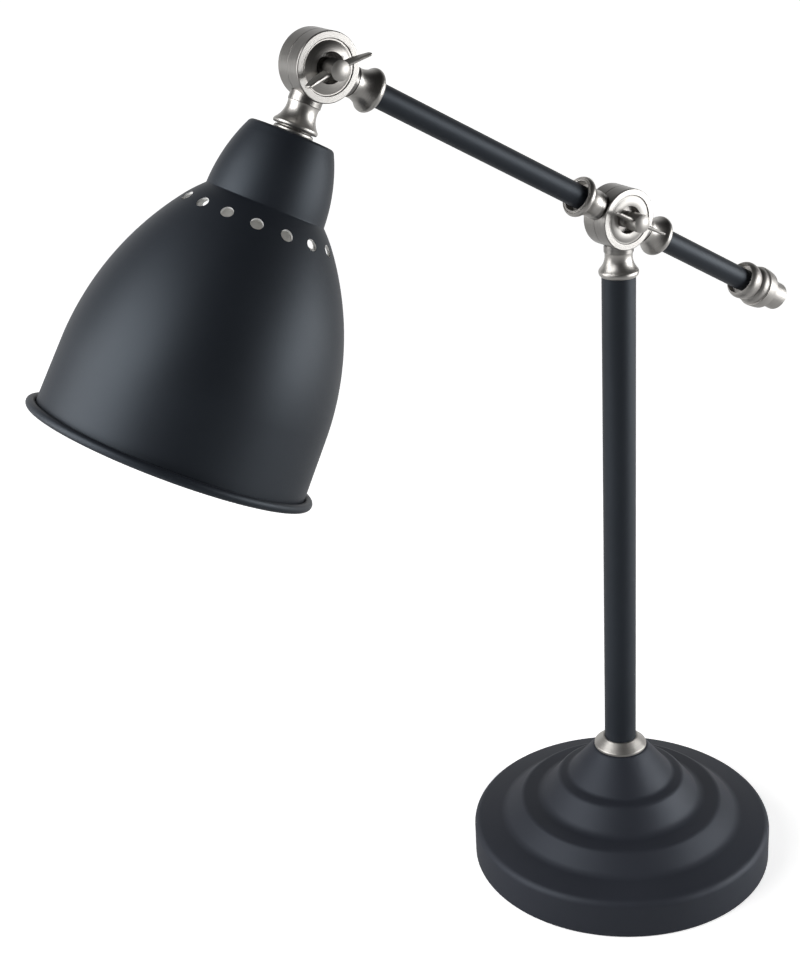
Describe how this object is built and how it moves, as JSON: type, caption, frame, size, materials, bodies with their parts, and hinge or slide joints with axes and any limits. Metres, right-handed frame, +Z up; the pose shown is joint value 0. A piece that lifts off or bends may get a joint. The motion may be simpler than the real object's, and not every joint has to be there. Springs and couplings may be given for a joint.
{
  "type": "desk lamp",
  "caption": "Desk lamp with a stepped weighted base, a stem, a tilting arm with a tail finial and a vented bell shade on a tilting joint.",
  "frame": {"origin": "centre of the round underside of the base, on the desk", "axes": "+Z up along the stem; the arm swings in the XZ plane with the shade towards -X and the tail towards +X; the hinge axes lie along Y with the wing screws on the -Y side"},
  "size_m": [0.4369, 0.174, 0.5062],
  "materials": {
    "black_paint": "satin powder coat",
    "satin_nickel": "satin nickel plate",
    "cast_iron": "as cast",
    "zinc_steel": "zinc plate",
    "pad_rubber": "matt foam rubber",
    "fibre": "pressed fibre",
    "brass": "drawn",
    "holder_plastic": "moulded",
    "ceramic": "unglazed",
    "bush_plastic": "moulded"
  },
  "bodies": {
    "base": {"base_shell": "black_paint", "base_weight": "cast_iron", "base_cover": "zinc_steel", "base_pad": "pad_rubber", "cover_screws": "zinc_steel", "base_rod": "zinc_steel", "rod_nut": "zinc_steel", "rod_washer": "zinc_steel", "cord_inlet": "bush_plastic", "foot_ring": "satin_nickel", "stem": "black_paint", "stem_lower_plug": "zinc_steel", "stem_upper_plug": "zinc_steel", "stem_collar": "satin_nickel", "mid_knuckle_front": "satin_nickel", "mid_cup_washer": "satin_nickel"},
    "arm": {"mid_knuckle_back": "satin_nickel", "mid_friction_ring": "fibre", "arm_front_collar": "satin_nickel", "arm_rear_collar": "satin_nickel", "arm_front_tube": "black_paint", "arm_rear_tube": "black_paint", "tail_finial": "satin_nickel", "arm_head_collar": "satin_nickel", "head_knuckle_back": "satin_nickel", "head_friction_ring": "fibre"},
    "head": {"head_knuckle_front": "satin_nickel", "head_cup_washer": "satin_nickel", "neck_collar": "satin_nickel", "neck_ring": "satin_nickel", "shade": "black_paint", "shade_locknut": "zinc_steel", "lampholder_cap": "holder_plastic", "lampholder_body": "holder_plastic", "lampholder_insulator": "ceramic", "lampholder_shell": "brass", "lampholder_contact": "brass"},
    "mid_wing": {"mid_wing_screw": "satin_nickel"},
    "head_wing": {"head_wing_screw": "satin_nickel"}
  },
  "joints": [
    {"name": "arm_tilt", "type": "hinge", "parent": "base", "child": "arm", "pos_m": [0, 0, 0.3885], "axis": [0, 1, 0], "range_deg": [-30, 3.5]},
    {"name": "head_tilt", "type": "hinge", "parent": "arm", "child": "head", "pos_m": [-0.16929, 0, 0.49022], "axis": [0, 1, 0], "range_deg": [-33, 60]},
    {"name": "mid_wing_turn", "type": "hinge", "parent": "arm", "child": "mid_wing", "pos_m": [0, 0, 0.3885], "axis": [0, -1, 0], "range_deg": [0, 180]},
    {"name": "head_wing_turn", "type": "hinge", "parent": "arm", "child": "head_wing", "pos_m": [-0.16929, 0, 0.49022], "axis": [0, -1, 0], "range_deg": [0, 180]}
  ]
}
